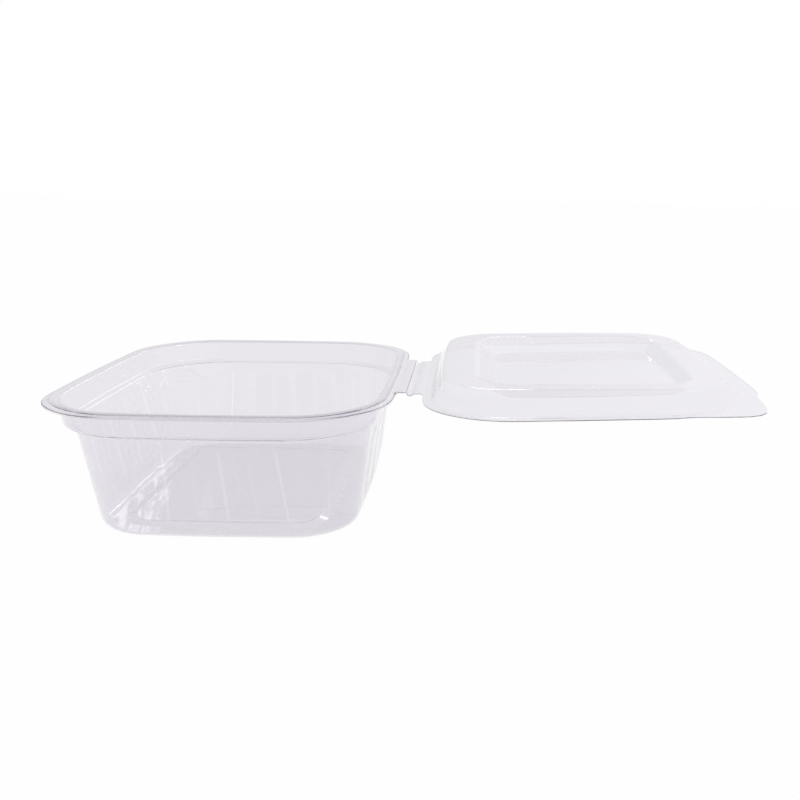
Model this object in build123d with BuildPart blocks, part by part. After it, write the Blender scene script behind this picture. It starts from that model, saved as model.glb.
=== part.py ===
"""Hinged clear plastic pack: a fluted tub and an inset lid, one sheet folded along a moulded hinge.

Millimetres. The origin is the middle of the tub's foot, +Z up, the lid opens towards +X.
"""
from build123d import *
import math
import os

# Tub rim: nominal sides, the outward bulge of each side, corner radius
RIM_LENGTH = 127.0
RIM_DEPTH = 154.6
RIM_BULGE = 2.6
RIM_CORNER = 31.6
TUB_HEIGHT = 50.0
TUB_SHEET = 0.5
TUB_FLANGE = 5.6
TUB_LIP_WIDTH = 0.6
TUB_LIP_DROP = 1.2

# Inner surface of the tub. Insets count from the mouth, heights from the rim or from the foot
MOUTH_CORNER = 28.0
NECK_DEPTH = 9.0
NECK_INSET = 0.8
NECK_CORNER = 27.5
SHOULDER_DROP = 1.1
SHOULDER_INSET = 3.1
SHOULDER_BULGE = 2.4
SHOULDER_CORNER = 30.0
WALL_BOTTOM_HEIGHT = 4.1
WALL_BOTTOM_INSET = 7.2
WALL_BOTTOM_BULGE = 1.9
WALL_BOTTOM_CORNER = 29.0
ROUND_HEIGHT = 1.7
ROUND_INSET = 8.3
FLOOR_EDGE_INSET = 11.0
FLOOR_CORNER = 26.0

# Raised panel of the floor
PANEL_INSET = 24.9
PANEL_CORNER = 14.0
PANEL_RISE = 1.2

# Flutes pressed into the walls, one pitch apart all the way round
FLUTE_WIDTH = 8.4
FLUTE_DEPTH = 1.0
FLUTE_FLANK = 1.4
FLUTE_PITCH = 19.8
FLUTE_COUNT_LENGTH = 3
FLUTE_COUNT_DEPTH = 4
FLUTE_BELOW_SHOULDER = 3.9
FLUTE_ABOVE_WALL_BOTTOM = 2.4

# Moulded hinge: axis from the nominal rim edge, below the rim's top, and the strap
HINGE_OFFSET = 5.55
HINGE_BELOW_RIM = 0.35
HINGE_HALF_SLIT = 0.06
STRAP_HALF_WIDTH = 33.0
STRAP_FLARE = 2.5
STRAP_SHEET = 0.35
STRAP_BELOW_AXIS = 0.05
BEAD_START = 0.5
BEAD_WIDTH = HINGE_OFFSET - RIM_BULGE + 0.15 - BEAD_START
BEAD_DROP = 1.4
STRAP_SQUARE_END = 1.5

# Lid, in its own frame: the hinge axis is the origin, the seat is the face that meets the tub's rim
LID_TILT = 2.0
LID_SHEET = 0.35
SEAT_GAP = 0.4
LID_SETBACK_HINGE = 2.5
LID_OVERHANG_FREE = 2.0
LID_SETBACK_SIDE = 1.5
LID_BULGE = 1.7
LID_HINGE_CORNER = 33.0
LID_FREE_CORNER = 38.0
LID_LIP_WIDTH = 0.6
LID_LIP_DROP = 0.8

# Plug of the lid: clearances to the tub's mouth, then steps inwards from the plug's root
PLUG_HINGE_CLEARANCE = 0.3
PLUG_FREE_CLEARANCE = 2.5
PLUG_SIDE_CLEARANCE = 1.1
PLUG_BULGE = 1.6
PLUG_CORNER = 28.0
STEP_LOW_HEIGHT = 3.5
STEP_HIGH_HEIGHT = 3.9
PLUG_HEIGHT = 6.8
PANEL_HEIGHT = 0.9

# Each level of the plug: steps inwards on the hinge, free and front/back sides, bulge, corner radius
STEP_LOW = (1.4, 1.5, 3.2, 1.5, 27.0)
STEP_HIGH = (2.5, 2.4, 5.0, 1.4, 26.0)
PLUG_TOP = (5.0, 5.2, 11.6, 1.3, 24.0)
RING_INNER = (15.2, 15.4, 20.1, 1.0, 16.0)
CENTRE_PANEL = (25.2, 20.9, 27.1, 0.8, 12.0)

# Pull tab at the free corner nearest the front: distances in from the lid's free edge and front edge
TAB_POINTS = ((5.05, 25.8), (4.65, 9.3), (5.95, 5.2), (9.95, 0.8), (22.55, 0.0), (22.55, 17.8))

HINGE_X = RIM_LENGTH / 2 + HINGE_OFFSET
HINGE_Z = TUB_HEIGHT - HINGE_BELOW_RIM
SEAT = -(HINGE_BELOW_RIM + SEAT_GAP)
LID_START = HINGE_OFFSET + LID_SETBACK_HINGE
LID_END = HINGE_OFFSET + RIM_LENGTH + LID_OVERHANG_FREE
LID_HALF_DEPTH = RIM_DEPTH / 2 - LID_SETBACK_SIDE
PLUG_START = HINGE_OFFSET + TUB_FLANGE + PLUG_HINGE_CLEARANCE
PLUG_END = HINGE_OFFSET + RIM_LENGTH - TUB_FLANGE - PLUG_FREE_CLEARANCE
PLUG_HALF_DEPTH = RIM_DEPTH / 2 - TUB_FLANGE - PLUG_SIDE_CLEARANCE


def bulged_outline(x0, x1, half_depth, bulge, radius, height, free_radius=None):
    """Sketch at a height: four sides that bulge outwards, joined by round corners."""
    middle = (x0 + x1) / 2
    with BuildSketch(Plane.XY.offset(height)) as outline:
        with BuildLine():
            ThreePointArc((x0, -half_depth), (middle, -half_depth - bulge), (x1, -half_depth))
            ThreePointArc((x1, -half_depth), (x1 + bulge, 0), (x1, half_depth))
            ThreePointArc((x1, half_depth), (middle, half_depth + bulge), (x0, half_depth))
            ThreePointArc((x0, half_depth), (x0 - bulge, 0), (x0, -half_depth))
        make_face()
        corners = outline.vertices().sort_by(Axis.X)
        fillet(corners[:2], radius)
        corners = outline.vertices().sort_by(Axis.X)
        fillet(corners[-2:], radius if free_radius is None else free_radius)
    return outline.sketch


def tub_outline(height, inset, bulge, radius):
    """Outline of the tub at a height, inset from the nominal rim."""
    half_length = RIM_LENGTH / 2 - inset
    return bulged_outline(-half_length, half_length, RIM_DEPTH / 2 - inset, bulge, radius, height)


def stacked(sections):
    """One solid through a list of outlines, from the top one to the bottom one."""
    with BuildPart() as solid:
        loft(sections=sections, ruled=True)
    return solid.part


def tub_levels(grown):
    """Levels of the tub's surface from the mouth down, grown outwards by the sheet for the outer side."""
    neck = TUB_HEIGHT - NECK_DEPTH
    levels = [
        (TUB_HEIGHT, 0.0, RIM_BULGE, MOUTH_CORNER),
        (neck - grown, NECK_INSET, RIM_BULGE, NECK_CORNER),
        (neck - SHOULDER_DROP - grown, SHOULDER_INSET, SHOULDER_BULGE, SHOULDER_CORNER),
        (WALL_BOTTOM_HEIGHT - grown, WALL_BOTTOM_INSET, WALL_BOTTOM_BULGE, WALL_BOTTOM_CORNER),
        (ROUND_HEIGHT - grown * 0.7, ROUND_INSET, WALL_BOTTOM_BULGE, WALL_BOTTOM_CORNER - 1.0),
        (TUB_SHEET - grown, FLOOR_EDGE_INSET, WALL_BOTTOM_BULGE, FLOOR_CORNER),
    ]
    return [(height, TUB_FLANGE + inset - grown, bulge, radius + grown) for height, inset, bulge, radius in levels]


def flute_places():
    """Where each flute meets the wall at the shoulder: x, y and the wall's outward direction in degrees."""
    inset = TUB_FLANGE + SHOULDER_INSET
    half_length = RIM_LENGTH / 2 - inset
    half_depth = RIM_DEPTH / 2 - inset
    places = []
    for number in range(FLUTE_COUNT_LENGTH):
        x = (number - (FLUTE_COUNT_LENGTH - 1) / 2) * FLUTE_PITCH
        y = half_depth + SHOULDER_BULGE * (1 - (x / half_length) ** 2)
        places.append((x, y, 90.0))
        places.append((x, -y, -90.0))
    for number in range(FLUTE_COUNT_DEPTH):
        y = (number - (FLUTE_COUNT_DEPTH - 1) / 2) * FLUTE_PITCH
        x = half_length + SHOULDER_BULGE * (1 - (y / half_depth) ** 2)
        places.append((x, y, 0.0))
        places.append((-x, y, 180.0))
    corner_x = half_length - SHOULDER_CORNER
    corner_y = half_depth - SHOULDER_CORNER
    past_length = (FLUTE_PITCH * (FLUTE_COUNT_LENGTH + 1) / 2 - corner_x) / SHOULDER_CORNER
    past_depth = (FLUTE_PITCH * (FLUTE_COUNT_DEPTH + 1) / 2 - corner_y) / SHOULDER_CORNER
    for turn in (math.pi / 2 - past_length, past_depth):
        swell = SHOULDER_BULGE * 0.65
        x = corner_x + (SHOULDER_CORNER + swell) * math.cos(turn)
        y = corner_y + (SHOULDER_CORNER + swell) * math.sin(turn)
        for sx, sy in ((1, 1), (-1, 1), (-1, -1), (1, -1)):
            outward = math.degrees(math.atan2(sy * math.sin(turn), sx * math.cos(turn)))
            places.append((sx * x, sy * y, outward))
    return places


def flutes(extra):
    """Tapered bars that press the flutes into the wall; extra widens and deepens them for the inner side."""
    shoulder = TUB_HEIGHT - NECK_DEPTH - SHOULDER_DROP
    top = shoulder - FLUTE_BELOW_SHOULDER
    bottom = WALL_BOTTOM_HEIGHT + FLUTE_ABOVE_WALL_BOTTOM
    lean = math.atan2(WALL_BOTTOM_INSET - SHOULDER_INSET, shoulder - WALL_BOTTOM_HEIGHT)
    with BuildPart() as bars:
        for x, y, outward in flute_places():
            facing = math.radians(outward)
            out = Vector(math.cos(facing), math.sin(facing), 0)
            along = Vector(-math.sin(facing), math.cos(facing), 0)
            down = (out * -math.sin(lean)) + Vector(0, 0, -math.cos(lean))
            drop = FLUTE_BELOW_SHOULDER - extra
            start = Vector(x, y, shoulder) + out * TUB_SHEET + down * (drop / math.cos(lean))
            length = (top - bottom + 2 * extra) / math.cos(lean)
            face = Plane(origin=start, x_dir=along, z_dir=down)
            inwards = 1 if face.y_dir.dot(out) < 0 else -1
            half = FLUTE_WIDTH / 2 + extra
            deep = FLUTE_DEPTH + extra
            with BuildSketch(face):
                with BuildLine():
                    Polyline(
                        (-half - FLUTE_FLANK, -2.0 * inwards),
                        (-half + FLUTE_FLANK, deep * inwards),
                        (half - FLUTE_FLANK, deep * inwards),
                        (half + FLUTE_FLANK, -2.0 * inwards),
                        close=True,
                    )
                make_face()
            extrude(amount=length)
    return bars.part


def make_tub():
    """Tub with its neck, shoulder, fluted walls, raised floor panel, rim and its half of the hinge strap."""
    outer = stacked([tub_outline(*level) for level in tub_levels(TUB_SHEET)])
    inner = stacked([tub_outline(*level) for level in tub_levels(0.0)])
    outer_flutes = flutes(0.0)
    inner_flutes = flutes(TUB_SHEET)
    with BuildPart() as tub:
        add(outer)
        add(outer_flutes, mode=Mode.SUBTRACT)
        with BuildPart(mode=Mode.PRIVATE) as room:
            add(inner)
            add(inner_flutes, mode=Mode.SUBTRACT)
        add(room.part, mode=Mode.SUBTRACT)
        length = RIM_LENGTH - 2 * PANEL_INSET
        depth = RIM_DEPTH - 2 * PANEL_INSET
        with BuildSketch(Plane.XY):
            RectangleRounded(length + 2 * TUB_SHEET, depth + 2 * TUB_SHEET, PANEL_CORNER + TUB_SHEET)
        extrude(amount=PANEL_RISE + TUB_SHEET)
        with BuildSketch(Plane.XY):
            RectangleRounded(length, depth, PANEL_CORNER)
        extrude(amount=PANEL_RISE, mode=Mode.SUBTRACT)
        rim_outer = tub_outline(TUB_HEIGHT, 0.0, RIM_BULGE, RIM_CORNER)
        rim_inner = tub_outline(TUB_HEIGHT, TUB_FLANGE, RIM_BULGE, MOUTH_CORNER)
        lip_inner = tub_outline(TUB_HEIGHT, TUB_LIP_WIDTH, RIM_BULGE, RIM_CORNER - TUB_LIP_WIDTH)
        extrude(rim_outer - rim_inner, amount=-TUB_SHEET)
        extrude(rim_outer - lip_inner, amount=-TUB_LIP_DROP)
        strap_end = HINGE_X - HINGE_HALF_SLIT
        strap_start = RIM_LENGTH / 2 + TUB_LIP_WIDTH
        strap_top = HINGE_Z - STRAP_BELOW_AXIS
        with BuildSketch(Plane.XY.offset(strap_top)):
            with BuildLine():
                Polyline(
                    (strap_start, -STRAP_HALF_WIDTH - STRAP_FLARE),
                    (strap_end - STRAP_SQUARE_END, -STRAP_HALF_WIDTH),
                    (strap_end, -STRAP_HALF_WIDTH),
                    (strap_end, STRAP_HALF_WIDTH),
                    (strap_end - STRAP_SQUARE_END, STRAP_HALF_WIDTH),
                    (strap_start, STRAP_HALF_WIDTH + STRAP_FLARE),
                    close=True,
                )
            make_face()
        extrude(amount=-STRAP_SHEET)
    tub.part.label = "tub"
    return tub.part


def lid_section(steps, height, grown, drop):
    """Outline of the plug at a height over the seat, grown outwards and dropped by the sheet where asked."""
    hinge_side, free_side, side, bulge, radius = steps
    start = PLUG_START + hinge_side - grown
    end = PLUG_END - free_side + grown
    half_depth = PLUG_HALF_DEPTH - side + grown
    return bulged_outline(start, end, half_depth, bulge, radius + grown, SEAT + height - drop)


def make_lid():
    """Lid opened flat: flange, two-tier plug ring, lowered centre panel, pull tab and its half of the strap."""
    root = (0.0, 0.0, 0.0, PLUG_BULGE, PLUG_CORNER)
    tiers = ((PLUG_TOP, PLUG_HEIGHT), (STEP_HIGH, STEP_HIGH_HEIGHT), (STEP_LOW, STEP_LOW_HEIGHT), (root, 0.0))
    bowl = ((RING_INNER, PLUG_HEIGHT + 0.5), (RING_INNER, PLUG_HEIGHT), (CENTRE_PANEL, PANEL_HEIGHT))
    plug = stacked([lid_section(*tier, 0.0, 0.0) for tier in tiers] + [lid_section(root, 0.0, 0.1, LID_SHEET)])
    hollow = stacked([lid_section(*tier, -LID_SHEET, LID_SHEET) for tier in tiers]
                     + [lid_section(root, -1.0, -LID_SHEET, LID_SHEET)])
    dish = stacked([lid_section(*level, 0.0, 0.0) for level in bowl])
    dish_skin = stacked([lid_section(*level, LID_SHEET, LID_SHEET) for level in bowl])
    with BuildPart() as lid:
        add(plug)
        with BuildPart(mode=Mode.PRIVATE) as room:
            add(hollow)
            add(dish_skin, mode=Mode.SUBTRACT)
        add(room.part, mode=Mode.SUBTRACT)
        add(dish, mode=Mode.SUBTRACT)
        edge = bulged_outline(LID_START, LID_END, LID_HALF_DEPTH, LID_BULGE, LID_HINGE_CORNER, SEAT, LID_FREE_CORNER)
        inside = bulged_outline(LID_START + LID_LIP_WIDTH, LID_END - LID_LIP_WIDTH, LID_HALF_DEPTH - LID_LIP_WIDTH,
                                LID_BULGE, LID_HINGE_CORNER - LID_LIP_WIDTH, SEAT, LID_FREE_CORNER - LID_LIP_WIDTH)
        hole = lid_section(root, 0.0, -LID_SHEET / 2, 0.0)
        extrude(edge - hole, amount=-LID_SHEET)
        extrude(edge - inside, amount=-LID_LIP_DROP - LID_SHEET)
        with BuildSketch(Plane.XY.offset(SEAT), mode=Mode.PRIVATE) as tab:
            with BuildLine():
                Polyline(*[(LID_END - inward, side - LID_HALF_DEPTH) for inward, side in TAB_POINTS], close=True)
            make_face()
        extrude(tab.sketch - hole, amount=-LID_SHEET)
        top = -STRAP_BELOW_AXIS
        low = top - STRAP_SHEET
        bead_end = BEAD_START + BEAD_WIDTH
        bead_middle = BEAD_START + BEAD_WIDTH / 2
        bead_low = top - BEAD_DROP
        with BuildSketch(Plane.XZ):
            with BuildLine():
                Polyline(
                    (HINGE_HALF_SLIT, top),
                    (BEAD_START, top),
                    (BEAD_START + 0.5, bead_low + 0.2),
                    (bead_middle, bead_low),
                    (bead_end - 0.5, bead_low + 0.2),
                    (bead_end, SEAT),
                    (LID_START + 0.2, SEAT),
                    (LID_START + 0.2, SEAT - LID_SHEET),
                    (bead_end + 0.1, SEAT - LID_SHEET),
                    (bead_end - 0.3, bead_low + 0.2 - STRAP_SHEET),
                    (bead_middle, bead_low - STRAP_SHEET),
                    (BEAD_START + 0.3, bead_low + 0.2 - STRAP_SHEET),
                    (BEAD_START - 0.1, low),
                    (HINGE_HALF_SLIT, low),
                    close=True,
                )
            make_face()
        extrude(amount=STRAP_HALF_WIDTH, both=True)
    placed = Pos(HINGE_X, 0, HINGE_Z) * Rot(0, -LID_TILT, 0) * lid.part
    placed.label = "lid"
    return placed


def main():
    """Build the two moulded halves and write one STEP file for each."""
    os.makedirs("parts", exist_ok=True)
    export_step(make_tub(), "parts/tub.step")
    export_step(make_lid(), "parts/lid.step")


main()
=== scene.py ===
"""Looks of the clear plastic clamshell pack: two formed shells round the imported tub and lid, and a studio.

Sizes are in millimetres in the part's frame, with the origin at the middle of the tub's foot and +Z up. They
are turned to metres when a mesh is written.
"""

import logging
import math
from collections.abc import Callable
from dataclasses import dataclass, field
from enum import Enum

import bmesh
import bpy
from mathutils import Matrix, Vector

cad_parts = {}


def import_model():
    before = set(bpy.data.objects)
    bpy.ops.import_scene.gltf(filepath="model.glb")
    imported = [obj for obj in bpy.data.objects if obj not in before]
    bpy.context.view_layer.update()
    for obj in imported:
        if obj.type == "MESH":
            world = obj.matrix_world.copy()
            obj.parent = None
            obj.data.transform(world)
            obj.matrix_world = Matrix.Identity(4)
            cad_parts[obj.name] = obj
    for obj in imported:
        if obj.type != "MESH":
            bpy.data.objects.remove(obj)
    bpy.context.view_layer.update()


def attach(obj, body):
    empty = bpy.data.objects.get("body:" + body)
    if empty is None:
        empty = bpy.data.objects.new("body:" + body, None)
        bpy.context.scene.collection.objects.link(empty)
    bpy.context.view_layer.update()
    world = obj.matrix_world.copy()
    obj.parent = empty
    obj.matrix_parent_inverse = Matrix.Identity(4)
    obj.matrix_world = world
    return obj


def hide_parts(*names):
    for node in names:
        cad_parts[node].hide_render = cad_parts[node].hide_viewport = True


LOG = logging.getLogger("clamshell")
MILLIMETRE = 0.001
PAINTED_HIGHLIGHT = "painted_highlight"  # point attribute: share of the painted highlight, a paler colour painted along flute edges and roundings, from 0 to 1


class Part(Enum):
    """Stretches of a rounded outline, anticlockwise from the middle of the side at high X."""

    FREE_SIDE = 0
    BACK_FREE_CORNER = 1
    BACK_SIDE = 2
    BACK_HINGE_CORNER = 3
    HINGE_SIDE = 4
    FRONT_HINGE_CORNER = 5
    FRONT_SIDE = 6
    FRONT_FREE_CORNER = 7


@dataclass(frozen=True)
class Station:
    """One place round an outline: the stretch it lies on, how far along that stretch, and the shares of the
    flute's depth and of the painted highlight on its edges there."""

    part: Part
    share: float
    flute: float = 0.0
    bend: float = 0.0


@dataclass(frozen=True)
class Outline:
    """Round-cornered outline with bulging sides, as the sheet has it at one level."""

    low_x: float
    high_x: float
    half_depth: float
    bulge: float
    low_corner: float
    high_corner: float

    @property
    def middle(self) -> float:
        """X halfway between the low and the high side."""
        return (self.low_x + self.high_x) / 2

    def grown(self, inset: float) -> "Outline":
        """The same outline with all four sides moved in by the inset."""
        return Outline(self.low_x + inset, self.high_x - inset, self.half_depth - inset, self.bulge,
                       max(self.low_corner - inset, 1.0), max(self.high_corner - inset, 1.0))

    def place(self, station: Station) -> tuple[Vector, Vector]:
        """Find the point of a station and the outward direction there.

        Args:
            station: The place round the outline.

        Returns:
            The point and the outward direction, both flat.
        """
        part = station.part
        half = (self.high_x - self.low_x) / 2
        at_high = part in (Part.FREE_SIDE, Part.BACK_FREE_CORNER, Part.FRONT_FREE_CORNER)
        corner = self.high_corner if at_high else self.low_corner
        if part in (Part.FREE_SIDE, Part.HINGE_SIDE):
            way = 1.0 if part is Part.FREE_SIDE else -1.0
            point = Vector((way * half, way * station.share * (self.half_depth - corner)))
            outward = Vector((way, 0.0))
        elif part in (Part.BACK_SIDE, Part.FRONT_SIDE):
            way = 1.0 if part is Part.BACK_SIDE else -1.0
            start = half - (self.high_corner if way > 0 else self.low_corner)
            end = half - (self.low_corner if way > 0 else self.high_corner)
            along = start + (station.share + 1) / 2 * (-end - start)
            point = Vector((way * along, way * self.half_depth))
            outward = Vector((0.0, way))
        else:
            turn = {Part.BACK_FREE_CORNER: 0.0, Part.BACK_HINGE_CORNER: 90.0, Part.FRONT_HINGE_CORNER: 180.0,
                    Part.FRONT_FREE_CORNER: 270.0}[part]
            angle = math.radians(turn + 90.0 * station.share)
            outward = Vector((math.cos(angle), math.sin(angle)))
            diagonal = math.radians(turn + 45.0)
            point = Vector((math.copysign(half - corner, math.cos(diagonal)),
                            math.copysign(self.half_depth - corner, math.sin(diagonal)))) + outward * corner
        share_x = point.x / half
        share_y = point.y / self.half_depth
        point = point + Vector((self.bulge * share_x * (1 - share_y ** 2),
                                self.bulge * share_y * (1 - share_x ** 2)))
        return point + Vector((self.middle, 0.0)), outward


@dataclass(frozen=True)
class Level:
    """One ring of the sheet: its outline, height, the radius rounded over it, how deep the flutes are there,
    how much height it loses for each millimetre towards high X and how strong the painted highlight, a paler
    colour painted over its rounding, is there."""

    outline: Outline
    height: float
    rounding: float = 0.0
    steps: int = 3
    flute: float = 0.0
    fall: float = 0.0
    thin: float = 0.0

    @property
    def count(self) -> int:
        """How many points a station's path has at this level."""
        return self.steps + 1 if self.rounding > 0 else 1

    def point(self, station: Station) -> Vector:
        """The sheet's point at a station on this level."""
        point, outward = self.outline.place(station)
        point = point - outward * (self.flute * station.flute)
        return Vector((point.x, point.y, self.height - self.fall * (point.x - self.outline.middle)))


class Sheet:
    """A formed plastic sheet, drawn as rings from its edge inwards and then given its thickness.

    A rounding takes at most SHARED_ARM of the stretch to a rounded neighbour, or FREE_ARM of one to a plain
    neighbour. Points closer than MERGED are one. Edges that turn by more than SHARP_TURN degrees shade sharp.
    """

    SHARED_ARM = 0.48
    FREE_ARM = 0.95
    MERGED = 0.004
    SHARP_TURN = 40.0

    def __init__(self, name: str, stations: list[Station]) -> None:
        """Start the sheet.

        Args:
            name: Name of the piece.
            stations: Places round every ring.
        """
        self.name = name
        self.stations = stations
        self.mesh = bmesh.new()
        self.station_of = self.mesh.verts.layers.int.new("station")
        # Painted highlight: a share at each point that makes the sheet's colour paler along flute edges and
        # roundings.
        self.painted_highlight = self.mesh.verts.layers.float.new(PAINTED_HIGHLIGHT)
        self.edge: list[bmesh.types.BMEdge] = []

    def rounded(self, path: list[Vector], levels: list[Level]) -> list[Vector]:
        """Round the corners of one station's path over the levels.

        Args:
            path: The station's point at each level.
            levels: The levels, with the radius and steps at each.

        Returns:
            The path with an arc of points at each rounded level.
        """
        found = [path[0]]
        for number in range(1, len(levels) - 1):
            level, here = levels[number], path[number]
            if level.rounding <= 0:
                found.append(here)
                continue
            back, ahead = path[number - 1] - here, path[number + 1] - here
            turn = math.pi - back.angle(ahead)
            reach = level.rounding * math.tan(turn / 2)
            for arm, other in ((back, levels[number - 1]), (ahead, levels[number + 1])):
                reach = min(reach, arm.length * (self.SHARED_ARM if other.rounding > 0 else self.FREE_ARM))
            start, end = here + back.normalized() * reach, here + ahead.normalized() * reach
            weight = math.cos(turn / 2)
            for step in range(level.count):
                t = step / level.steps
                low, middle, high = (1 - t) ** 2, 2 * t * (1 - t) * weight, t ** 2
                found.append((start * low + here * middle + end * high) / (low + middle + high))
        return found + [path[-1]]

    def shares(self, levels: list[Level]) -> list[tuple[float, float]]:
        """Find how the sheet is drawn at each row of the paths.

        Args:
            levels: The levels from the edge to the middle.

        Returns:
            For each row, the share of the flutes' full depth and the share of the painted highlight all
            round.
        """
        deepest = max(level.flute for level in levels) or 1.0
        rows = [(0.0, 0.0)]
        for level in levels[1:-1]:
            rows += [(level.flute / deepest, level.thin * math.sin(math.pi * (step + 0.5) / level.count))
                     for step in range(level.count)]
        return rows + [(0.0, 0.0)]

    def draw(self, levels: list[Level], edge: Callable[[Station, Vector], Vector]) -> None:
        """Draw the sheet ring by ring from its edge and close it with a flat face.

        Args:
            levels: The levels from the edge to the middle.
            edge: Gives the point where a station's sheet ends, from its point on the first level.
        """
        paths = []
        for station in self.stations:
            path = [level.point(station) for level in levels]
            path[0] = edge(station, path[0])
            paths.append(self.rounded(path, levels))
        ring = bmesh.ops.create_circle(self.mesh, cap_ends=False, radius=1.0, segments=len(self.stations))
        for number, vert in enumerate(ring["verts"]):
            vert[self.station_of] = number
            vert.co = paths[number][0]
        self.edge = list(self.mesh.edges)
        last = self.edge
        for row, (flute, thin) in list(enumerate(self.shares(levels)))[1:]:
            verts, last = self.extrude(last)
            for vert in verts:
                number = vert[self.station_of]
                vert.co = paths[number][row]
                # Painted highlight: the share that makes the sheet's colour paler along the flutes' edges and
                # over roundings.
                vert[self.painted_highlight] = max(flute * self.stations[number].bend, thin)
        bmesh.ops.edgeloop_fill(self.mesh, edges=last)

    def extrude(self, edges: list[bmesh.types.BMEdge]
                ) -> tuple[list[bmesh.types.BMVert], list[bmesh.types.BMEdge]]:
        """Extrude edges.

        Args:
            edges: The edges to run on from.

        Returns:
            The new points and the new outer edges.
        """
        made = bmesh.ops.extrude_edge_only(self.mesh, edges=edges)["geom"]
        verts = [item for item in made if isinstance(item, bmesh.types.BMVert)]
        fresh = set(verts)
        outer = [item for item in made
                 if isinstance(item, bmesh.types.BMEdge) and fresh.issuperset(item.verts)]
        return verts, outer

    def wall(self, thickness: float) -> bpy.types.Mesh:
        """Give the sheet its thickness below and write the mesh.

        Args:
            thickness: Sheet thickness.

        Returns:
            The finished mesh, in metres.
        """
        bmesh.ops.remove_doubles(self.mesh, verts=self.mesh.verts[:], dist=self.MERGED)
        bmesh.ops.recalc_face_normals(self.mesh, faces=self.mesh.faces[:])
        widest = max(self.mesh.faces, key=lambda face: face.calc_area())
        if widest.normal.z < 0:
            bmesh.ops.reverse_faces(self.mesh, faces=self.mesh.faces[:])
        bmesh.ops.solidify(self.mesh, geom=self.mesh.faces[:], thickness=thickness)
        bmesh.ops.recalc_face_normals(self.mesh, faces=self.mesh.faces[:])
        bmesh.ops.scale(self.mesh, vec=(MILLIMETRE,) * 3, verts=self.mesh.verts[:])
        mesh = bpy.data.meshes.new(self.name)
        self.mesh.to_mesh(mesh)
        self.mesh.free()
        for polygon in mesh.polygons:
            polygon.use_smooth = True
        mesh.set_sharp_from_angle(angle=math.radians(self.SHARP_TURN))
        return mesh


def link(mesh: bpy.types.Mesh, material: bpy.types.Material) -> bpy.types.Object:
    """Place a mesh in the scene.

    Args:
        mesh: The finished mesh, in metres.
        material: Its only material.

    Returns:
        Its object, at the origin.
    """
    piece = bpy.data.objects.new(mesh.name, mesh)
    bpy.context.scene.collection.objects.link(piece)
    mesh.materials.append(material)
    LOG.info("%s: %d faces", mesh.name, len(mesh.polygons))
    return piece


def round_cycle(sides: dict[Part, list[tuple[float, ...]]]) -> list[Station]:
    """Stations of the eight stretches in order round the outline."""
    return [Station(part, *place) for part in Part for place in sides[part]]


def even_shares(low: float, high: float, count: int,
                extra: tuple[float, ...] = ()) -> list[tuple[float, ...]]:
    """List even places along a stretch without flutes.

    Args:
        low: Share at the start.
        high: Share at the end, which belongs to the next stretch.
        count: How many even places.
        extra: Further places.

    Returns:
        The places in order, each with its share alone.
    """
    shares = {round(low + (high - low) * number / count, 5) for number in range(count)}
    shares.update(extra)
    return [(share,) for share in sorted(shares)]


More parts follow.
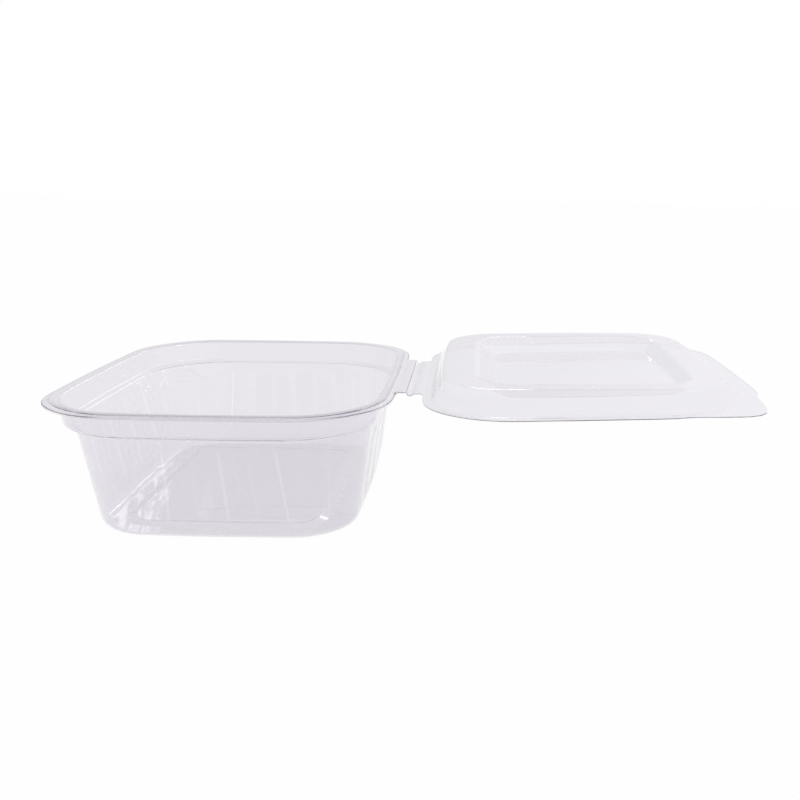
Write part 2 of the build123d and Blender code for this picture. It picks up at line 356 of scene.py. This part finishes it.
@dataclass
class Tub:
    """The tub: rim, neck, shoulder, fluted walls, rounded bottom, raised floor panel and short hinge strap.

    Insets count from the nominal rim, and a lean is how far the wall's foot stands in from its top.
    """

    length: float = 127.0
    depth: float = 154.6
    height: float = 50.0
    sheet: float = 0.5
    flange: float = 5.6
    rim_bulge: float = 2.6
    rim_corner: float = 31.6
    lip_drop: float = 1.15
    step_drop: float = 0.42
    clear: float = 0.02

    neck_inset: float = 6.4
    neck_foot: float = 41.0
    shoulder_inset: float = 8.7
    shoulder_hinge_inset: float = 8.4
    shoulder_height: float = 39.9
    shoulder_corner: float = 30.0
    shoulder_bulge: float = 2.4
    lean_away: float = 8.6
    lean_hinge: float = 5.1
    lean_side: float = 5.6
    corner_closing: float = 10.0
    bulge_closing: float = 0.7
    foot_rounding: float = 3.8
    panel_height: float = 1.5
    panel_rounding: float = 1.6

    hinge_x: float = 69.05
    half_slit: float = 0.06
    strap_half: float = 33.0
    strap_flare: float = 2.5
    strap_start: float = 2.75
    strap_height: float = 49.6

    flute_width: float = 8.4
    flute_depth: float = 0.6
    flute_pitch: float = 19.8
    flank_reach: float = 2.1
    flank_run: float = 4.4
    flank_step: float = 0.44
    flank_marks: int = 11
    corner_flute: float = 0.15
    # Painted highlight along the flutes' edges: how far out from the flute it sits, how wide it is, and how
    # much weaker it is on one flank and on the back wall.
    highlight_offset: float = 0.8
    highlight_reach: float = 0.75
    highlight_dull_side: float = 0.3
    highlight_back_wall: float = 0.3
    flute_shares: tuple[tuple[float, float], ...] = (
        (37.8, 0.0), (36.9, 0.08), (36.0, 0.3), (35.0, 0.6), (34.0, 0.85), (33.0, 0.97), (32.0, 1.0),
        (21.0, 1.0), (9.6, 1.0), (8.8, 0.92), (8.0, 0.7), (7.2, 0.4), (6.4, 0.15), (5.4, 0.0))

    def at(self, inset: float, bulge: float, corner: float) -> Outline:
        """Outline of the tub at an inset from the nominal rim."""
        return Outline(-self.length / 2 + inset, self.length / 2 - inset, self.depth / 2 - inset, bulge,
                       corner, corner)

    def flute_share(self, distance: float) -> float:
        """How deep a flute is, from 0 to 1, at a distance from its middle line."""
        half = self.flute_width / 2
        share = min(max((half + self.flank_reach - abs(distance)) / self.flank_run, 0.0), 1.0)
        return share * share * (3 - 2 * share)

    def crease_highlight_share(self, distance: float) -> float:
        """How strong the painted highlight is near a flute's edges, from 0 to 1, by distance from its middle
        line.
        """
        off = abs(abs(distance) - self.flute_width / 2 - self.highlight_offset)
        return max(0.0, 1.0 - off / self.highlight_reach) * (1.0 if distance > 0 else self.highlight_dull_side)

    def flute_at(self, place: float, centres: list[tuple[float, float]]) -> tuple[float, float]:
        """The shares of the flute's depth and of the painted highlight at a place among some flutes."""
        return (max(weight * self.flute_share(place - centre) for centre, weight in centres),
                max(math.sqrt(weight) * self.crease_highlight_share(place - centre) for centre, weight in centres))

    def marks(self, centres: list[tuple[float, float]], low: float, high: float) -> list[tuple[float, ...]]:
        """Places along a stretch, close together at the flutes' flanks.

        Args:
            centres: Middle and share of the full depth of each flute on the stretch or next to it.
            low: Start of the stretch.
            high: End of the stretch.

        Returns:
            Each place with the shares of the flute's depth and of the painted highlight there.
        """
        nearest, furthest = 0.25, 2.0
        top = self.flute_width / 2 + self.flank_reach
        offsets = [top - self.flank_step * number for number in range(self.flank_marks)]
        places = {low}
        for centre, _ in centres:
            for offset in offsets + [0.0]:
                places.update({centre - offset, centre + offset})
        kept = [low]
        for place in sorted(places):
            if kept[-1] + nearest < place < high - nearest:
                kept.append(place)
        dense: list[float] = []
        for here, there in zip(kept, kept[1:] + [high]):
            pieces = max(1, math.ceil((there - here) / furthest))
            dense += [here + (there - here) * number / pieces for number in range(pieces)]
        return [(place, *self.flute_at(place, centres)) for place in dense]

    def hinge_side_marks(self, run: float, centres: list[tuple[float, float]],
                         found: list[tuple[float, ...]]) -> list[tuple[float, ...]]:
        """Move places on the side of the strap, so that two stand at each of its ends.

        Args:
            run: Half the length of the straight wall.
            centres: The flutes on that wall.
            found: Places on it so far, as shares of the run.

        Returns:
            The places with the strap's own ones.
        """
        nearest = 0.008
        rim_run = self.depth / 2 - self.rim_corner
        ends = [self.strap_half / rim_run, (self.strap_half + self.strap_flare) / rim_run]
        kept = [item for item in found if min(abs(abs(item[0]) - place) for place in ends) > nearest]
        return sorted(kept + [(way * place, *self.flute_at(place * run, centres)) for place in ends
                              for way in (-1, 1)])

    def stations(self) -> list[Station]:
        """Places round the tub, from the walls' flutes at the shoulder."""
        run_x = self.length / 2 - self.shoulder_inset - self.shoulder_corner
        run_y = self.depth / 2 - self.shoulder_inset - self.shoulder_corner
        arc = self.shoulder_corner * math.pi / 2
        pitch = self.flute_pitch
        corner = self.corner_flute
        on_depth = [(pitch * number, 1.0) for number in (-1.5, -0.5, 0.5, 1.5)]
        on_length = [(pitch * number, 1.0) for number in (-1.0, 0.0, 1.0)]
        after_depth = pitch * 2.5 - run_y
        after_length = pitch * 2.0 - run_x
        sides: dict[Part, list[tuple[float, ...]]] = {}
        for part in Part:
            if part in (Part.FREE_SIDE, Part.HINGE_SIDE):
                near = [(way * (run_y + after_depth), corner) for way in (-1, 1)]
                found = [(place / run_y, *shares)
                         for place, *shares in self.marks(on_depth + near, -run_y, run_y)]
                if part is Part.FREE_SIDE:
                    found = self.hinge_side_marks(run_y, on_depth, found)
            elif part in (Part.BACK_SIDE, Part.FRONT_SIDE):
                near = [(way * (run_x + after_length), corner) for way in (-1, 1)]
                # The painted highlight is weaker on the back wall.
                seen = self.highlight_back_wall if part is Part.BACK_SIDE else 1.0
                found = [(place / run_x, flute, seen * bend)
                         for place, flute, bend in self.marks(on_length + near, -run_x, run_x)]
            else:
                depth_first = part in (Part.BACK_FREE_CORNER, Part.FRONT_HINGE_CORNER)
                first = after_depth if depth_first else after_length
                last = arc - (after_length if depth_first else after_depth)
                row = [(first - pitch, 1.0), (first, corner), (last, corner), (last + pitch, 1.0)]
                found = [(place / arc, *shares) for place, *shares in self.marks(row, 0.0, arc)]
            sides[part] = found
        return round_cycle(sides)

    def wall_outline(self, height: float) -> Outline:
        """Find the outline of the straight wall, which leans most away from the hinge.

        Args:
            height: A height between the bottom and the shoulder.

        Returns:
            The wall's outline there.
        """
        share = (self.shoulder_height - height) / (self.shoulder_height - self.sheet)
        corner = self.shoulder_corner - self.corner_closing * share
        return Outline(-self.length / 2 + self.shoulder_inset + self.lean_away * share,
                       self.length / 2 - self.shoulder_hinge_inset - self.lean_hinge * share,
                       self.depth / 2 - self.shoulder_inset - self.lean_side * share,
                       self.shoulder_bulge - self.bulge_closing * share, corner, corner)

    def rings(self) -> list[Level]:
        """Levels of the tub from the rim's edge in and down to the middle of the floor."""
        bulge = self.rim_bulge
        top = self.height - self.clear
        step = top - self.step_drop
        edge = self.at(self.clear, bulge, self.rim_corner - self.clear)
        rim = [
            Level(edge, self.height - self.lip_drop),
            Level(edge, step, 0.5, 3),
            Level(self.at(1.7, bulge, 30.5), step, 0.3, 2),
            Level(self.at(2.2, bulge, 30.2), top, 0.3, 2),
            Level(self.at(self.flange, bulge, 28.0), top, 1.0, 5),
        ]
        neck = [
            Level(self.at(self.neck_inset, bulge, 27.5), self.neck_foot, 0.9, 4),
            Level(self.at(self.shoulder_inset, self.shoulder_bulge, self.shoulder_corner),
                  self.shoulder_height, 1.2, 5),
        ]
        walls = [Level(self.wall_outline(height), height, flute=share * self.flute_depth)
                 for height, share in self.flute_shares]
        floor = [
            Level(self.wall_outline(self.sheet), self.sheet, self.foot_rounding, 8),
            Level(self.at(24.0, 0.3, 12.4), self.sheet, self.panel_rounding, 5),
            Level(self.at(27.4, 0.3, 9.1), self.panel_height, self.panel_rounding, 5),
            Level(self.at(36.0, 0.0, 8.0), self.panel_height),
        ]
        return rim + neck + walls + floor

    def build(self, material: bpy.types.Material) -> bpy.types.Object:
        """Build the tub's shell.

        Args:
            material: The clear sheet.

        Returns:
            The tub's piece.
        """
        sheet = Sheet("tub_shell", self.stations())
        sheet.draw(self.rings(), self.edge_point)
        self.add_strap(sheet)
        piece = link(sheet.wall(self.sheet), material)
        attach(piece, "tub")
        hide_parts("tub")
        return piece

    def edge_point(self, station: Station, point: Vector) -> Vector:
        """Find where the rim ends: at the foot of its turned-down lip, or where the strap leaves it.

        Args:
            station: A place round the tub.
            point: The lip's own end there.

        Returns:
            The point where the sheet ends.
        """
        if station.part is Part.FREE_SIDE and abs(point.y) <= self.strap_half + 0.1:
            return Vector((self.length / 2 + self.strap_start, point.y, self.strap_height))
        return point

    def add_strap(self, sheet: Sheet) -> None:
        """Run the short hinge strap out to the fold."""
        edges = [edge for edge in sheet.edge
                 if all(vert.co.z > self.strap_height - 0.1 for vert in edge.verts)]
        verts, _ = sheet.extrude(edges)
        for vert in verts:
            vert.co.x = self.hinge_x - self.half_slit


@dataclass
class Lid:
    """The lid, opened flat: flange, two-tier plug ring, lowered centre panel, pull tab and long hinge strap.

    Its sizes are in its own frame, with the hinge axis at the origin and the lid level. Tier, ring and panel
    heights count from the seat, the face that meets the tub's rim. The bead's points are reach and height.
    """

    hinge_x: float = 69.05
    hinge_z: float = 49.65
    tilt: float = 2.0
    sheet: float = 0.35
    seat: float = -0.75
    low_tier: float = 3.2
    high_tier: float = 4.0
    ring_height: float = 7.1
    ring_fall: float = 0.016
    panel_height: float = 0.9
    strap_half: float = 33.0
    strap_end: float = 6.0
    bead: tuple[tuple[float, float], ...] = (
        (3.2, -0.75), (2.9, -0.95), (2.6, -1.25), (2.2, -1.42), (1.8, -1.45), (1.4, -1.42), (1.0, -1.25),
        (0.75, -0.7), (0.5, -0.1), (0.3, -0.05), (0.06, -0.05))
    edge: Outline = field(default_factory=lambda: Outline(8.05, 133.2, 75.4, 1.5, 33.0, 42.0))
    root: Outline = field(default_factory=lambda: Outline(11.45, 124.45, 70.6, 1.6, 28.0, 28.0))
    tab: tuple[tuple[float, float], ...] = (
        (103.0, -75.3), (112.0, -75.8), (121.0, -75.7), (125.2, -74.0), (128.0, -70.7), (129.8, -65.0),
        (130.6, -59.0), (131.2, -52.0), (131.9, -44.0))
    tab_shares: tuple[float, ...] = (0.29, 0.391, 0.444, 0.4956, 0.563, 0.633, 0.723)
    tab_from: float = 0.1
    tab_to: float = 0.85
    tab_least: float = 0.1

    def inwards(self, hinge: float, free: float, side: float, bulge: float, corner: float) -> Outline:
        """Outline of the plug, stepped in from its root on the hinge, free and front and back sides."""
        return Outline(self.root.low_x + hinge, self.root.high_x - free, self.root.half_depth - side, bulge,
                       corner, corner)

    def stations(self) -> list[Station]:
        """Places round the lid."""
        on_side, on_corner, flare = 24, 28, 2.0
        sides: dict[Part, list[tuple[float, ...]]] = {}
        run = self.edge.half_depth - self.edge.low_corner
        strap = (self.strap_half / run, (self.strap_half + flare) / run)
        for part in Part:
            if part in (Part.FREE_SIDE, Part.BACK_SIDE, Part.FRONT_SIDE):
                sides[part] = even_shares(-1.0, 1.0, on_side)
            elif part is Part.HINGE_SIDE:
                sides[part] = even_shares(-1.0, 1.0, on_side, (-strap[1], -strap[0], *strap))
            else:
                extra = self.tab_shares if part is Part.FRONT_FREE_CORNER else ()
                sides[part] = even_shares(0.0, 1.0, on_corner, extra)
        return round_cycle(sides)

    def rings(self) -> list[Level]:
        """Levels of the lid from the flange's edge in and up over the ring to the middle of the panel."""
        seat, fall = self.seat, self.ring_fall
        top, panel = seat + self.ring_height, seat + self.panel_height
        flange = [
            Level(self.edge.grown(0.02), seat - 0.3),
            Level(self.edge.grown(0.6), seat - 0.15, 0.6, 3),
            Level(self.edge.grown(1.3), seat - 0.13, 0.6, 2),
            Level(self.edge.grown(2.0), seat, 1.0, 3),
            Level(self.root, seat, 1.2, 5),
        ]
        ring = [
            Level(self.inwards(1.6, 1.7, 3.2, 1.6, 27.0), seat + self.low_tier, 3.0, 6),
            Level(self.inwards(2.9, 3.0, 5.3, 1.8, 25.0), seat + self.high_tier, 3.0, 6),
            # A painted highlight, a paler colour, lies over the ring's top roundings and the panel's edge.
            Level(self.inwards(4.6, 5.2, 8.6, 2.0, 20.0), top, 2.8, 12, fall=fall, thin=0.5),
            Level(self.inwards(17.2, 15.6, 18.6, 0.8, 14.0), top, 2.6, 8, fall=fall, thin=0.7),
        ]
        centre = [
            Level(self.inwards(25.5, 19.6, 25.4, 1.6, 7.0), panel, 0.8, 5, thin=1.0),
            Level(self.inwards(40.0, 36.0, 42.0, 0.4, 5.0), panel),
        ]
        return flange + ring + centre

    def build(self, material: bpy.types.Material) -> bpy.types.Object:
        """Build the lid's shell.

        Args:
            material: The clear sheet.

        Returns:
            The lid's piece.
        """
        sheet = Sheet("lid_shell", self.stations())
        sheet.draw(self.rings(), self.edge_point)
        self.add_strap(sheet)
        bmesh.ops.rotate(sheet.mesh, cent=(0, 0, 0), matrix=Matrix.Rotation(math.radians(-self.tilt), 3, "Y"),
                         verts=sheet.mesh.verts[:])
        bmesh.ops.translate(sheet.mesh, vec=(self.hinge_x, 0, self.hinge_z), verts=sheet.mesh.verts[:])
        piece = link(sheet.wall(self.sheet), material)
        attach(piece, "lid")
        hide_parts("lid")
        return piece

    def edge_point(self, station: Station, point: Vector) -> Vector:
        """Find where the flange ends: at its lip, where the strap leaves it, or at the tab's outline.

        Args:
            station: A place round the lid.
            point: The flange's own end there.

        Returns:
            The point where the sheet ends.
        """
        if station.part is Part.HINGE_SIDE and abs(point.y) <= self.strap_half + 0.1:
            return Vector((self.strap_end, point.y, self.seat))
        if station.part is Part.FRONT_FREE_CORNER and self.tab_from < station.share < self.tab_to:
            return self.tab_point(station, point)
        return point

    def tab_point(self, station: Station, point: Vector) -> Vector:
        """Find where the pull tab ends at the free corner nearest the front.

        Args:
            station: A place on that corner.
            point: The flange's own end there.

        Returns:
            The point on the tab's outline where that is further out, or else the flange's own end.
        """
        corner = self.edge.high_corner
        centre = Vector((self.edge.high_x - corner, corner - self.edge.half_depth))
        angle = math.radians(90.0 * station.share - 90.0)
        ahead = Vector((math.cos(angle), math.sin(angle)))
        for a, b in zip(self.tab, self.tab[1:]):
            start, along = Vector(a) - centre, Vector(b) - Vector(a)
            turn = ahead.cross(along)
            reach, share = start.cross(along) / turn, start.cross(ahead) / turn
            if -0.001 <= share <= 1.001 and reach > (point.xy - centre).length + self.tab_least:
                spot = centre + ahead * reach
                return Vector((spot.x, spot.y, point.z))
        return point

    def add_strap(self, sheet: Sheet) -> None:
        """Run the flange's hinge side out to the fold, over the moulded bead."""
        edges = [edge for edge in sheet.edge if all(vert.co.x < self.strap_end + 0.05 for vert in edge.verts)]
        for reach, height in self.bead:
            verts, edges = sheet.extrude(edges)
            for vert in verts:
                vert.co.x, vert.co.z = reach, height


def maths(tree: bpy.types.NodeTree, operation: str, first: float | bpy.types.NodeSocket,
          second: float | bpy.types.NodeSocket) -> bpy.types.NodeSocket:
    """Add a Math node.

    Args:
        tree: The node tree.
        operation: What the node works out.
        first: Its first number, or the output that gives it.
        second: Its second number, or the output that gives it.

    Returns:
        The node's output.
    """
    node = tree.nodes.new("ShaderNodeMath")
    node.operation = operation
    for socket, given in zip(node.inputs, (first, second)):
        if isinstance(given, float):
            socket.default_value = given
        else:
            tree.links.new(given, socket)
    return node.outputs["Value"]


def ranged(tree: bpy.types.NodeTree, value: bpy.types.NodeSocket, given: tuple[float, float],
           wanted: tuple[float, float] = (0.0, 1.0)) -> bpy.types.NodeSocket:
    """Add a Map Range node.

    Args:
        tree: The node tree.
        value: The output to turn into another range.
        given: Low and high end of its range.
        wanted: What the two ends become.

    Returns:
        The node's output.
    """
    node = tree.nodes.new("ShaderNodeMapRange")
    for name, number in zip(("From Min", "From Max", "To Min", "To Max"), (*given, *wanted)):
        node.inputs[name].default_value = number
    tree.links.new(value, node.inputs["Value"])
    return node.outputs["Result"]


def mixed_colour(tree: bpy.types.NodeTree, share: bpy.types.NodeSocket, first: tuple[float, float, float],
                 second: tuple[float, float, float]) -> bpy.types.NodeSocket:
    """Add a Mix node between two colours.

    Args:
        tree: The node tree.
        share: The output that gives the second colour's share.
        first: First colour.
        second: Second colour.

    Returns:
        The node's output.
    """
    node = tree.nodes.new("ShaderNodeMix")
    node.data_type = "RGBA"
    node.inputs["A"].default_value = (*first, 1.0)
    node.inputs["B"].default_value = (*second, 1.0)
    tree.links.new(share, node.inputs["Factor"])
    return node.outputs["Result"]


def mixed_shader(tree: bpy.types.NodeTree, share: bpy.types.NodeSocket, first: bpy.types.NodeSocket,
                 second: bpy.types.NodeSocket) -> bpy.types.NodeSocket:
    """Add a Mix Shader node.

    Args:
        tree: The node tree.
        share: The output that gives the second shader's share.
        first: First shader's output.
        second: Second shader's output.

    Returns:
        The node's output.
    """
    node = tree.nodes.new("ShaderNodeMixShader")
    tree.links.new(share, node.inputs["Fac"])
    tree.links.new(first, node.inputs[1])
    tree.links.new(second, node.inputs[2])
    return node.outputs["Shader"]


def film(tree: bpy.types.NodeTree, tint: tuple[float, ...]) -> bpy.types.NodeSocket:
    """Add a Transparent shader with a tint and return its output."""
    node = tree.nodes.new("ShaderNodeBsdfTransparent")
    node.inputs["Color"].default_value = (*tint, 1.0)
    return node.outputs["BSDF"]


@dataclass(frozen=True)
class ClearSheet:
    """Finish of the clear formed sheet.

    Its colour is painted paler in patches along the flutes' edges and over some roundings, a painted
    highlight.
    Light that has bounced more than caught_after times, and still meets the sheet within caught_reach metres,
    is caught inside it, and is let straight out with a darker tone.
    """

    name: str
    tint: tuple[float, float, float]
    # Colour of the painted highlight.
    highlight_tint: tuple[float, float, float] = (0.99, 0.985, 1.0)
    roughness: float = 0.03
    ior: float = 1.57
    wave_size: float = 45.0
    wave_height: float = 0.00006
    caught_after: float = 16.0
    caught_reach: float = 0.1
    caught_tone: tuple[float, float, float] = (0.53, 0.505, 0.56)

    def build(self, waves: bpy.types.ShaderNodeTree) -> bpy.types.Material:
        """Make the material.

        Args:
            waves: Node group with the sheet's uneven surface.

        Returns:
            The material.
        """
        material = bpy.data.materials.new(self.name)
        material.use_nodes = True
        tree = material.node_tree
        nodes, links = tree.nodes, tree.links
        shader = nodes["Principled BSDF"]
        shader.inputs["IOR"].default_value = self.ior
        shader.inputs["Transmission Weight"].default_value = 1.0
        surface = nodes.new("ShaderNodeGroup")
        surface.node_tree = waves
        surface.inputs["Scale"].default_value = self.wave_size
        surface.inputs["Roughness"].default_value = self.roughness
        links.new(surface.outputs["Roughness"], shader.inputs["Roughness"])
        bump = nodes.new("ShaderNodeBump")
        bump.inputs["Strength"].default_value = 1.0
        bump.inputs["Distance"].default_value = self.wave_height
        links.new(surface.outputs["Height"], bump.inputs["Height"])
        links.new(bump.outputs["Normal"], shader.inputs["Normal"])
        # Painted highlight: the base colour turns towards highlight_tint where the point attribute and its
        # patches say.
        thin = nodes.new("ShaderNodeAttribute")
        thin.attribute_name = PAINTED_HIGHLIGHT
        patchy_highlight = maths(tree, "MULTIPLY", thin.outputs["Fac"], surface.outputs["Highlight Patches"])
        links.new(mixed_colour(tree, patchy_highlight, self.tint, self.highlight_tint), shader.inputs["Base Color"])
        path = nodes.new("ShaderNodeLightPath")
        deep = maths(tree, "GREATER_THAN", path.outputs["Ray Depth"], self.caught_after)
        short = maths(tree, "LESS_THAN", path.outputs["Ray Length"], self.caught_reach)
        caught = maths(tree, "MULTIPLY", deep, short)
        lit = mixed_shader(tree, caught, shader.outputs["BSDF"], film(tree, self.caught_tone))
        shadow = film(tree, tuple(0.5 + 0.5 * value for value in self.tint))
        links.new(mixed_shader(tree, path.outputs["Is Shadow Ray"], lit, shadow),
                  nodes["Material Output"].inputs["Surface"])
        return material


def formed_surface() -> bpy.types.ShaderNodeTree:
    """Node group of a formed sheet's surface: slow waves from the forming, faint haze and patches that break
    up the painted highlight.

    Returns:
        The node group, with Height, Roughness and Highlight Patches outputs.
    """
    group = bpy.data.node_groups.new("formed_surface", "ShaderNodeTree")
    for name, low, high, default in (("Scale", 1.0, 500.0, 60.0), ("Roughness", 0.0, 1.0, 0.03)):
        socket = group.interface.new_socket(name, in_out="INPUT", socket_type="NodeSocketFloat")
        socket.min_value, socket.max_value, socket.default_value = low, high, default
    for name in ("Height", "Roughness", "Highlight Patches"):
        group.interface.new_socket(name, in_out="OUTPUT", socket_type="NodeSocketFloat")
    nodes, links = group.nodes, group.links
    given = nodes.new("NodeGroupInput")
    out = nodes.new("NodeGroupOutput")
    place = nodes.new("ShaderNodeTexCoord")
    noises = []
    for scale, detail in ((None, 2.0), (25.0, 3.0), (55.0, 1.0)):
        noise = nodes.new("ShaderNodeTexNoise")
        noise.inputs["Detail"].default_value = detail
        links.new(place.outputs["Object"], noise.inputs["Vector"])
        if scale is None:
            links.new(given.outputs["Scale"], noise.inputs["Scale"])
        else:
            noise.inputs["Scale"].default_value = scale
        noises.append(noise.outputs["Fac"])
    wave, haze, patchy = noises
    links.new(wave, out.inputs["Height"])
    spread = ranged(group, haze, (0.35, 0.75), (0.6, 1.8))
    links.new(maths(group, "MULTIPLY", spread, given.outputs["Roughness"]), out.inputs["Roughness"])
    # Patches that break up the painted highlight.
    links.new(ranged(group, patchy, (0.25, 0.45)), out.inputs["Highlight Patches"])
    return group


@dataclass
class Studio:
    """White floor, white surroundings with a greyer ceiling and left side, soft lamps and the camera.

    floor_glow is the share of the floor that shows as plain white to the camera and in reflections, and
    floor_through how much of that is left where the floor shows through the sheet.
    """

    wall: float = 0.84
    ceiling: float = 0.8
    left: float = 0.88
    right: float = 1.1
    air_tint: tuple[float, float, float] = (0.985, 0.97, 1.0)
    floor_half: float = 6.0
    floor_colour: tuple[float, float, float] = (0.76, 0.75, 0.79)
    floor_roughness: float = 0.9
    floor_glow: float = 0.98
    floor_through: float = 0.74
    camera_place: tuple[float, float, float] = (94.9, -381.1, 129.4)
    yaw: float = -1.0
    pitch: float = 13.2
    roll: float = -0.7
    focal: float = 920.0
    optical_centre: tuple[float, float] = (456.0, 397.5)
    frame: float = 800.0

    def build(self) -> None:
        """Build the world, floor, lamps and camera."""
        self.surroundings()
        self.floor()
        self.lamp("key_softbox", (0.62, -0.45, 0.8), (0.0, 0.0, 0.03), 0.3, 0.35)
        self.lamp("side_softbox", (0.95, -0.25, 0.35), (0.0, 0.0, 0.03), 0.14, 0.3)
        self.lamp("back_softbox", (0.1, 0.95, 0.5), (0.05, 0.0, 0.05), 0.14, 0.1)
        self.camera()

    def surroundings(self) -> None:
        """White to the camera, and greyer above and on the left for light and reflections."""
        world = bpy.data.worlds.new("studio")
        bpy.context.scene.world = world
        world.use_nodes = True
        tree = world.node_tree
        nodes, links = tree.nodes, tree.links
        back = nodes["Background"]
        to_camera = nodes.new("ShaderNodeLightPath").outputs["Is Camera Ray"]
        links.new(mixed_colour(tree, to_camera, self.air_tint, (1.0, 1.0, 1.0)), back.inputs["Color"])
        place = nodes.new("ShaderNodeTexCoord")
        split = nodes.new("ShaderNodeSeparateXYZ")
        links.new(place.outputs["Generated"], split.inputs["Vector"])
        upwards = ranged(tree, split.outputs["Z"], (0.35, 0.75), (self.wall, self.ceiling))
        across = ranged(tree, split.outputs["X"], (-0.2, 0.25), (self.left, self.right))
        links.new(maths(tree, "MAXIMUM", maths(tree, "MULTIPLY", upwards, across), to_camera),
                  back.inputs["Strength"])

    def floor(self) -> None:
        """A wide white floor that still takes the pack's faint shadow."""
        shape = bmesh.new()
        bmesh.ops.create_grid(shape, x_segments=1, y_segments=1, size=self.floor_half)
        mesh = bpy.data.meshes.new("floor")
        shape.to_mesh(mesh)
        shape.free()
        material = bpy.data.materials.new("white_floor")
        material.use_nodes = True
        tree = material.node_tree
        nodes = tree.nodes
        matt = nodes["Principled BSDF"]
        matt.inputs["Base Color"].default_value = (*self.floor_colour, 1.0)
        matt.inputs["Roughness"].default_value = self.floor_roughness
        matt.inputs["Specular IOR Level"].default_value = 0.0
        glow = nodes.new("ShaderNodeEmission")
        path = nodes.new("ShaderNodeLightPath")
        through = path.outputs["Is Transmission Ray"]
        dimmed = maths(tree, "MULTIPLY", through, 1.0 - self.floor_through)
        mirrored = maths(tree, "MAXIMUM", path.outputs["Is Glossy Ray"], through)
        less = maths(tree, "SUBTRACT", mirrored, dimmed)
        white = maths(tree, "MAXIMUM", less, path.outputs["Is Camera Ray"])
        share = maths(tree, "MULTIPLY", white, self.floor_glow)
        tree.links.new(mixed_shader(tree, share, matt.outputs["BSDF"], glow.outputs["Emission"]),
                       nodes["Material Output"].inputs["Surface"])
        link(mesh, material)

    def lamp(self, name: str, place: tuple[float, float, float], aim: tuple[float, float, float],
             size: float, power: float) -> None:
        """Hang one square softbox.

        Args:
            name: Name of the lamp.
            place: Where it hangs, in metres.
            aim: The point it faces, in metres.
            size: Length of a side, in metres.
            power: Power in watts.
        """
        light = bpy.data.lights.new(name, "AREA")
        light.shape = "SQUARE"
        light.size = size
        light.energy = power
        lamp = bpy.data.objects.new(name, light)
        lamp.location = place
        lamp.rotation_euler = (Vector(aim) - Vector(place)).to_track_quat("-Z", "Y").to_euler()
        bpy.context.scene.collection.objects.link(lamp)

    def camera(self) -> None:
        """Set the camera where the photograph was taken from."""
        sensor, nearest = 36.0, 0.01
        yaw, pitch, roll = (math.radians(value) for value in (self.yaw, self.pitch, self.roll))
        ahead = Vector((math.sin(yaw) * math.cos(pitch), math.cos(yaw) * math.cos(pitch), -math.sin(pitch)))
        right = Vector((math.cos(yaw), -math.sin(yaw), 0.0))
        down = ahead.cross(right)
        turned_right = right * math.cos(roll) + down * math.sin(roll)
        turned_down = down * math.cos(roll) - right * math.sin(roll)
        data = bpy.data.cameras.new("camera")
        data.sensor_width = sensor
        data.lens = sensor * self.focal / self.frame
        data.shift_x = -(self.optical_centre[0] - self.frame / 2) / self.frame
        data.shift_y = (self.optical_centre[1] - self.frame / 2) / self.frame
        data.clip_start = nearest
        camera = bpy.data.objects.new("camera", data)
        turn = Matrix((turned_right, -turned_down, -ahead)).transposed()
        camera.matrix_world = Matrix.Translation(Vector(self.camera_place) * MILLIMETRE) @ turn.to_4x4()
        bpy.context.scene.collection.objects.link(camera)
        bpy.context.scene.camera = camera


def main() -> None:
    """Build the pack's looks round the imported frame."""
    logging.basicConfig(level=logging.INFO, format="%(name)s: %(message)s")
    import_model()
    scene = bpy.context.scene
    scene.view_settings.view_transform = "Standard"
    # Light crosses many faces of the sheet before it leaves the pack.
    scene.cycles.max_bounces = 40
    scene.cycles.transmission_bounces = 36
    scene.cycles.glossy_bounces = 36
    scene.cycles.transparent_max_bounces = 32
    surface = formed_surface()
    Tub().build(ClearSheet("clear_tub_sheet", (0.917, 0.904, 0.935)).build(surface))
    Lid().build(ClearSheet("clear_lid_sheet", (0.953, 0.944, 0.968), wave_height=0.00003).build(surface))
    Studio().build()


if __name__ == "__main__":
    main()
